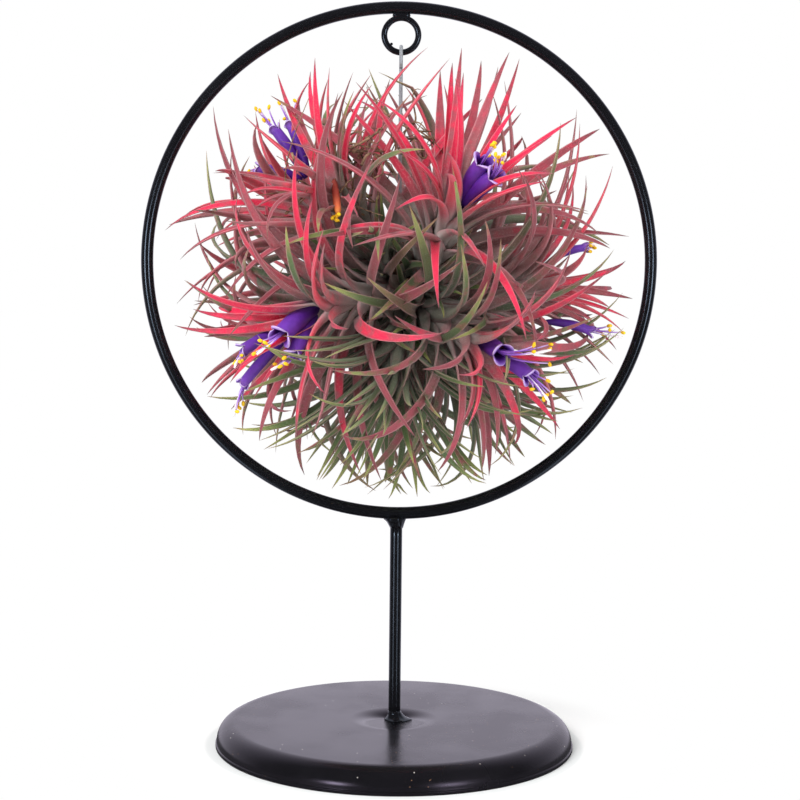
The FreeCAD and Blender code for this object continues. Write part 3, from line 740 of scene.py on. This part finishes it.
def grow_leaves(skin, foot, mouth, row):
    """The leaves of one rosette in a golden-angle spiral up its stem."""
    count, length, wide, narrow, old, young, lift, breadth, seed = row
    draw = np.random.default_rng(seed)
    axis = unit(mouth - foot)
    side = unit(np.cross(axis, UP))
    order = np.linspace(0, 1, count)
    turn = GOLDEN_ANGLE * np.arange(count) + draw.normal(0, TURN_SPREAD, count)
    outward = np.outer(np.cos(turn), side) + np.outer(np.sin(turn), np.cross(side, axis))
    tangent = np.cross(axis, outward)
    girth = between(*STEM_GIRTH, order)
    root = foot + np.outer(order * BEARING, mouth - foot) + girth[:, None] * outward
    start = np.radians(between(*START_ANGLES, order) + draw.normal(0, START_SPREAD, count))
    finish = between(wide, narrow, order ** 1.8) + draw.normal(0, FINISH_SPREAD, count)
    crossing = crossed(mouth, outward) * (1 - order)
    drooping = np.clip(-outward[:, 2] - 0.3, 0, 1) * (1 - order)
    finish = np.radians(finish) * (1 - CROSSING_BEND * crossing)
    sway = draw.normal(0, SWAY_SPREAD, count)
    curl = draw.normal(CURL_MEAN, CURL_SPREAD, count)
    size = length * MM * between(*LENGTH_SHARES, order ** 2) * draw.uniform(*LENGTH_RANGE, count)
    size *= 1 - CROSSING_LENGTH * crossing
    twist = draw.normal(0, TWIST_SPREAD, count)
    rise = lift * ease(0.45 + 0.6 * outward[:, 2]) * draw.uniform(*RISE_RANGE, count)

    def march():
        places = [root]
        headings = []
        for share in LEAF_SHARES:
            angle = start + (finish - start) * share ** 0.9 + curl * share ** 3
            heading = (np.cos(angle)[:, None] * axis + np.sin(angle)[:, None] * outward
                       + np.outer(rise * share ** 2, UP) + (sway * share)[:, None] * tangent)
            headings.append(unit(heading))
            places.append(places[-1] + headings[-1] * (size / (LEAF_STEPS - 1))[:, None])
        return np.stack(places[:-1], axis=1), np.stack(headings, axis=1)

    places, headings = march()
    for _ in range(TRIALS):
        far = too_far(off_the_wire(places))
        if not far.any():
            break
        size = np.where(far, size * SHORTER, size)
        places, headings = march()
    places = off_the_wire(places)
    width = tangent[:, None, :] - headings * np.sum(tangent[:, None, :] * headings, axis=-1,
                                                    keepdims=True)
    width = unit(width)
    face = np.cross(headings, width)
    turned = (twist[:, None] * LEAF_SHARES[None, :])[..., None]
    width, face = (width * np.cos(turned) + face * np.sin(turned),
                   face * np.cos(turned) - width * np.sin(turned))
    half = breadth * between(*HALF_WIDTHS, order) * draw.uniform(*WIDTH_RANGE, count)
    half = half[:, None] * LEAF_WIDTH[None, :]
    across = np.concatenate((UPPER, LOWER))
    under = np.concatenate((np.zeros(len(UPPER)), np.ones(len(LOWER))))
    shaded = CROSSING_FLUSH * crossing + DROOPING_FLUSH * drooping
    blush = between(old, young, order) - shaded + draw.normal(0, BLUSH_SPREAD, count)
    blush = np.clip(blush, 0, 1)
    tone = draw.uniform(0, 1, count) * between(*TONE_SHARES, order) * min(1.0, young + 0.3)
    for leaf in range(count):
        reach = half[leaf][:, None]
        thick = LEAF_THICKNESS * np.minimum(1, reach / (0.9 * MM))
        depth = LEAF_HOLLOW[:, None] * reach * (across ** 2 - 0.33)
        depth = depth - under * thick * np.sqrt(1 - across ** 2)
        rings = (places[leaf][:, None, :] + (reach * across)[..., None] * width[leaf][:, None, :]
                 + depth[..., None] * face[leaf][:, None, :])
        skin.add(rings, along=LEAF_SHARES[:, None], across=np.abs(across)[None, :],
                 under=under[None, :], blush=blush[leaf], tone=tone[leaf])


def grow_stem(skin, foot, mouth):
    """The stem that the leaves clasp, coloured as their roots are."""
    steps = 10
    line = [between(foot, mouth, share) for share in np.linspace(-0.06, 0.84, steps)]
    skin.add(tube(line, np.linspace(4.6 * MM, 0.9 * MM, steps), 14), along=0.05, across=0.0,
             under=0.0, blush=0.3, tone=0.6)


def make_plants():
    for name, row in PLANT_HABITS.items():
        skin = Skin()
        foot, mouth = stem_of(name)
        grow_stem(skin, foot, mouth)
        grow_leaves(skin, foot, mouth, row)
        if name in OFFSETS:
            low, high, small = OFFSETS[name]
            grow_leaves(skin, photo_point(*low), photo_point(*high), small)
        skin.piece(name + "_leaves", "plant_ball", [LEAF], [name + "_plant"])


# Dried roots and old threads at the top of the ball: middle of each tangle as pixel and
# distance before the ring's plane (mm), how far it spreads (mm), and how many threads.
TANGLES = (((356, 164, 20), 11, 34), ((420, 142, 10), 7, 14), ((322, 190, 22), 9, 18))
THREAD_STEPS = 16
THREAD_TURNS = 4
# Radius of a thread at its start, from and to, and at its end (mm).
THREAD_START = (0.3, 0.5)
THREAD_END = 0.12


def make_fibres():
    draw = np.random.default_rng(11)
    skin = Skin()
    for spot, spread, count in TANGLES:
        middle = photo_point(*spot)
        for _ in range(count):
            start = middle + draw.normal(0, 0.5, 3) * spread * MM
            turns = [start + draw.normal(0, 0.75, 3) * spread * MM for _ in range(THREAD_TURNS)]
            line = off_the_wire(bezier([start] + turns, THREAD_STEPS))
            line[:, 2] = np.minimum(line[:, 2], CLEAR_TOPS[0])
            radii = np.linspace(draw.uniform(*THREAD_START), THREAD_END, THREAD_STEPS) * MM
            skin.add(tube(line, radii, 7))
    skin.piece("dried_roots", "plant_ball", [FIBRE])


# Flowers. Each bloom: root, mouth and end of the stamens, as pixel and distance before the
# ring's plane (mm), and the radius of its tube (mm).
BLOOMS = {
    "left_front": (
        ((322, 304, 30), (282, 334, 44), (262, 350, 48), 3.0),
        ((318, 312, 32), (294, 352, 42), (276, 366, 46), 2.4),
        ((300, 325, 28), (246, 348, 34), (238, 362, 36), 1.9),
        ((290, 335, 30), (246, 380, 32), (236, 410, 33), 1.7),
    ),
    "right_front": (
        ((478, 344, 34), (500, 352, 46), (544, 350, 50), 2.6),
        ((482, 346, 34), (527, 374, 44), (545, 397, 47), 2.3),
    ),
    "upper_right_front": (
        ((458, 208, 32), (482, 164, 42), (492, 150, 46), 2.7),
        ((464, 206, 34), (493, 178, 43), (503, 158, 47), 2.6),
    ),
    "right": (
        ((544, 322, 14), (588, 330, 12), (616, 336, 12), 1.5),
        ((548, 262, 6), (582, 248, 0), (590, 246, 0), 1.3),
    ),
    "upper_left_back": (
        ((306, 178, -2), (277, 132, -4), (262, 114, -6), 1.8),
        ((308, 170, -2), (292, 128, -4), (282, 106, -6), 1.7),
        ((302, 180, -2), (262, 170, -2), (250, 176, -2), 1.9),
    ),
}
PETAL_COLUMNS = 24
PETAL_SHEET = 0.22 * MM
TUBE_STEPS = 12
# Girth of the tube as a share of its radius, at places from its root to its mouth.
TUBE_PLACES = (0, 0.3, 0.7, 1)
TUBE_GIRTHS = (0.45, 0.85, 1.05, 0.95)
# The three petal tips past the mouth: how far they go on, and how far they curl out where the
# radius of the tube is LIP_TUBE.
LIP_REACH = np.array((0.5, 0.95, 1.15, 1.0)) * 2 * MM
LIP_CURL = np.array((0.1, 0.25, 0.5, 0.75)) * 1.7 * MM
LIP_TUBE = 2.4 * MM
FILAMENTS = 5
# Radii of a filament at both ends and of the style along its length (mm).
FILAMENT_RADII = (0.34, 0.2)
STYLE_RADII = np.array((2, 2, 2, 2, 2, 2, 2, 3, 5, 3)) * 0.1
# An anther: places along it, and its radii in a fresh and in a dried flower (mm).
ANTHER_PLACES = (-0.5, -0.1, 0.5, 1.0, 1.3)
FRESH_ANTHER = (0.18, 0.48, 0.56, 0.45, 0.12)
DRIED_ANTHER = (0.18, 0.5, 0.6, 0.5, 0.12)


def add_along(skin, line, radii, sides, slot=0):
    """A tube that carries how far along it each ring is."""
    skin.add(tube(line, radii, sides), slot=slot, along=np.linspace(0, 1, len(line))[:, None])


def add_anther(skin, spot, lean, radii, slot):
    grain = [spot + lean * place * MM for place in ANTHER_PLACES]
    add_along(skin, grain, np.array(radii) * MM, 8, slot)


def make_bloom(skin, root, mouth, end, radius, draw):
    root, mouth, end = (photo_point(*spot) for spot in (root, mouth, end))
    radius = radius * MM
    line = bezier((root, between(root, mouth, 0.5) + UP * 1.5 * MM, mouth), TUBE_STEPS)
    heading = unit(line[-1] - line[-2])
    shares = np.linspace(0, 1, TUBE_STEPS)
    girth = np.interp(shares, TUBE_PLACES, TUBE_GIRTHS) * radius
    outer = tube(line, girth, PETAL_COLUMNS)
    spoke = unit(outer[-1] - line[-1])
    angles = np.arange(PETAL_COLUMNS) * FULL_TURN / PETAL_COLUMNS
    lobe = np.abs(np.cos(1.5 * angles))[:, None] ** 0.7
    lips = [outer[-1] + lobe * (reach * heading + curl * radius / LIP_TUBE * spoke)
            for reach, curl in zip(LIP_REACH, LIP_CURL)]
    inner_lips = [ring - spoke * PETAL_SHEET * 0.5 + heading * PETAL_SHEET
                  for ring in reversed(lips)]
    inner = [ring - (ring - middle) * 0.18 for ring, middle in zip(outer, line)][:4:-1]
    rings = list(outer) + lips + inner_lips + inner
    along = np.concatenate((shares * 0.8, (0.86, 0.92, 0.97, 1), (1, 0.96, 0.9, 0.8),
                            np.full(len(inner), 0.3)))
    skin.add(rings, along=along[:, None])
    make_stamens(skin, line[-3], mouth, heading, end, draw)


def make_stamens(skin, inside, mouth, heading, end, draw):
    """Five filaments with yellow anthers and a pale style that outgrows them."""
    reach = np.linalg.norm(end - mouth)
    for _ in range(FILAMENTS):
        scatter = draw.normal(0, 1, 3) * (0.14 * reach + 0.5 * MM)
        tip = between(mouth, end, draw.uniform(0.7, 1.0)) + scatter
        turn = mouth + heading * reach * 0.4 + scatter * 0.3
        line = bezier((inside + scatter * 0.2, turn, tip), 8)
        add_along(skin, line, np.linspace(*FILAMENT_RADII, 8) * MM, 6, slot=1)
        lean = unit(unit(tip - line[-2]) + draw.normal(0, 0.7, 3))
        add_anther(skin, tip, lean, FRESH_ANTHER, slot=2)
    beyond = end + unit(end - mouth) * 2.2 * MM
    line = bezier((inside, mouth + heading * reach * 0.5, beyond), len(STYLE_RADII))
    add_along(skin, line, STYLE_RADII * MM, 8, slot=3)


# The dried flower: its root and end as pixel and distance before the ring's plane (mm), and its
# radii (mm) at places along it.
SPENT_ENDS = ((334, 180, 28), (338, 214, 40))
SPENT_PLACES = (0, 0.1, 0.6, 0.9, 1)
SPENT_RADII = (0.5, 0.9, 1.2, 1.1, 0.6)
SPENT_STEPS = 12
SPENT_ANTHERS = 7
FIRST_SEED = 100


def make_flowers():
    for seed, (name, blooms) in enumerate(BLOOMS.items(), FIRST_SEED):
        draw = np.random.default_rng(seed)
        skin = Skin()
        for root, mouth, end, radius in blooms:
            make_bloom(skin, root, mouth, end, radius, draw)
        skin.piece(name + "_blooms", "plant_ball", [PETAL, FILAMENT, ANTHER, STYLE],
                   [name + "_flowers"])
    skin = Skin()
    top, bottom = (photo_point(*spot) for spot in SPENT_ENDS)
    line = bezier((top, between(top, bottom, 0.5) + UP * MM, bottom), SPENT_STEPS)
    radii = np.interp(np.linspace(0, 1, SPENT_STEPS), SPENT_PLACES, SPENT_RADII) * MM
    add_along(skin, line, radii, 14)
    draw = np.random.default_rng(7)
    for _ in range(SPENT_ANTHERS):
        spot = bottom + draw.normal(0, 0.8, 3) * MM
        lean = unit(draw.normal(0, 1, 3))
        add_anther(skin, spot, lean, DRIED_ANTHER, slot=1)
    skin.piece("spent_bloom", "plant_ball", [DRIED, ANTHER], ["dried_flower"])


# Distances from the middle over which the floor goes from a painted shadow under the base to
# plain (m), and from plain to the white of the background. Floor colours: the painted shadow,
# plain, and as gloss sees it.
PAINTED_SHADOW_EDGE = (0.0615, 0.0632)
WHITE_EDGE = (0.066, 0.09)
FLOOR_PAINTED_SHADOW = (238, 240, 240)
FLOOR_PLAIN = (252, 252, 252)
FLOOR_GLOSS = (90, 88, 94)


def make_stage():
    """Pale floor that takes the object's shadows, has a grey shadow disc painted under the base,
    and is plain white further out.
    """
    floor = bpy.data.meshes.new("floor")
    reach = 6.0
    floor.from_pydata([(-reach, -reach, 0), (reach, -reach, 0), (reach, reach, 0),
                       (-reach, reach, 0)], [], [(0, 1, 2, 3)])
    finish = Finish("floor_white", roughness=1.0, specular_ior_level=0.0)
    away = finish.node("ShaderNodeVectorMath", operation="LENGTH")
    finish.feed(away.inputs[0], finish.place)
    far = finish.remap(away.outputs["Value"], *WHITE_EDGE, 0, 1)
    path = finish.node("ShaderNodeLightPath")
    glow = finish.math("MULTIPLY", path.outputs["Is Camera Ray"], far)
    # Painted shadow: the floor's colour is a darker grey inside a disc just wider than the base.
    painted_shadow = finish.remap(away.outputs["Value"], *PAINTED_SHADOW_EDGE, 0, 1)
    floor_and_painted_shadow = finish.mix(painted_shadow, linear(*FLOOR_PAINTED_SHADOW), linear(*FLOOR_PLAIN))
    floor_and_painted_shadow = finish.mix(path.outputs["Is Glossy Ray"], floor_and_painted_shadow, linear(*FLOOR_GLOSS))
    finish.give("Base Color", finish.mix(glow, floor_and_painted_shadow, linear(0, 0, 0)))
    finish.give("Emission Color", linear(255, 255, 255))
    finish.give("Emission Strength", glow)
    blend = finish.node("ShaderNodeMixShader")
    finish.feed(blend.inputs[0], finish.math("MULTIPLY", path.outputs["Is Glossy Ray"], far))
    finish.feed(blend.inputs[1], finish.shader.outputs[0])
    finish.feed(blend.inputs[2], finish.node("ShaderNodeBsdfTransparent").outputs[0])
    finish.feed(finish.tree.nodes["Material Output"].inputs["Surface"], blend.outputs[0])
    floor.materials.append(finish.data)
    made = bpy.data.objects.new("floor", floor)
    bpy.context.scene.collection.objects.link(made)


# What gloss sees: a dark room with a pale wall behind, and an upright soft strip on each side of
# the camera. The wall's places run from the front (0) to the back (1), the strips' from the
# middle (0) to the side (1), and their ends' from below (0) to above (1).
WALL = ((0.0, 0.014), (0.5, 0.034), (1.0, 1.0))
WALL_LIGHT = 1.17
STRIPS = ((0.0, 0.0), (0.47, 0.0), (0.53, 1.0), (0.63, 1.0), (0.7, 0.0))
STRIP_ENDS = ((0.38, 0.1), (0.44, 0.4), (0.48, 1.0), (0.52, 1.0), (0.58, 0.0))
STRIP_LIGHT = 12.0
ROOM_TINT = (0.9, 0.85, 1.0, 1.0)
ROOM_LIGHT = 0.6


def make_world():
    """White for the eye, even soft light for colours, and a dark room for the gloss."""
    world = bpy.data.worlds.new("studio")
    world.use_nodes = True
    nodes = world.node_tree.nodes
    links = world.node_tree.links

    def combine(operation, first, second):
        made = nodes.new("ShaderNodeMath")
        made.operation = operation
        for socket, source in zip(made.inputs, (first, second)):
            if isinstance(source, bpy.types.NodeSocket):
                links.new(source, socket)
            else:
                socket.default_value = source
        return made.outputs[0]

    def levels(share, stops, light):
        ramp = nodes.new("ShaderNodeValToRGB")
        steps = ramp.color_ramp.elements
        while len(steps) < len(stops):
            steps.new(0.5)
        for step, (place, level) in zip(steps, stops):
            step.position = place
            step.color = (level, level, level, 1)
        links.new(share, ramp.inputs[0])
        return combine("MULTIPLY", ramp.outputs[0], light)

    heading = nodes.new("ShaderNodeSeparateXYZ")
    links.new(nodes.new("ShaderNodeTexCoord").outputs["Generated"], heading.inputs[0])
    ahead = combine("MULTIPLY", combine("ADD", heading.outputs["Y"], 1.0), 0.5)
    wall = levels(ahead, WALL, WALL_LIGHT)
    strips = levels(combine("ABSOLUTE", heading.outputs["X"], 0.0), STRIPS, STRIP_LIGHT)
    strips = combine("MULTIPLY", strips, combine("LESS_THAN", heading.outputs["Y"], 0.0))
    above = combine("MULTIPLY", combine("ADD", heading.outputs["Z"], 1.0), 0.5)
    strips = combine("MULTIPLY", strips, levels(above, STRIP_ENDS, 1.0))
    path = nodes.new("ShaderNodeLightPath")
    gloss = nodes.new("ShaderNodeMix")
    gloss.inputs[2].default_value = ROOM_LIGHT
    links.new(path.outputs["Is Glossy Ray"], gloss.inputs[0])
    links.new(combine("ADD", wall, strips), gloss.inputs[3])
    strength = nodes.new("ShaderNodeMix")
    strength.inputs[3].default_value = 1.0
    links.new(path.outputs["Is Camera Ray"], strength.inputs[0])
    links.new(gloss.outputs[0], strength.inputs[2])
    links.new(strength.outputs[0], nodes["Background"].inputs["Strength"])
    tint = nodes.new("ShaderNodeMix")
    tint.data_type = "RGBA"
    tint.inputs[6].default_value = (1, 1, 1, 1)
    tint.inputs[7].default_value = ROOM_TINT
    links.new(path.outputs["Is Glossy Ray"], tint.inputs[0])
    links.new(tint.outputs[2], nodes["Background"].inputs["Color"])
    bpy.context.scene.world = world


# Soft lamps: name, place (m), side (m), power (W). They aim at the middle of the object.
LAMPS = (("key", (-0.7, -0.9, 1.1), 0.9, 22), ("fill", (0.95, -0.7, 0.5), 0.8, 6))
LAMP_AIM = Vector((0, 0, 0.15))


def make_lamps():
    for name, place, side, power in LAMPS:
        lamp = bpy.data.lights.new(name, "AREA")
        lamp.shape = "RECTANGLE"
        lamp.size = lamp.size_y = side
        lamp.energy = power
        made = bpy.data.objects.new(name, lamp)
        made.location = place
        made.rotation_euler = (LAMP_AIM - Vector(place)).to_track_quat("-Z", "Y").to_euler()
        made.visible_glossy = False
        bpy.context.scene.collection.objects.link(made)


def make_camera():
    camera = bpy.data.cameras.new("camera")
    camera.sensor_width = SENSOR
    camera.lens = FOCAL_PIXELS / PHOTO_SIDE * SENSOR
    made = bpy.data.objects.new("camera", camera)
    made.matrix_world = camera_matrix()
    bpy.context.scene.collection.objects.link(made)
    bpy.context.scene.camera = made


make_camera()
make_base()
make_rods()
make_welds()
make_wire()
make_core()
make_plants()
make_fibres()
make_flowers()
make_stage()
make_world()
make_lamps()
bpy.context.scene.view_settings.view_transform = "Standard"
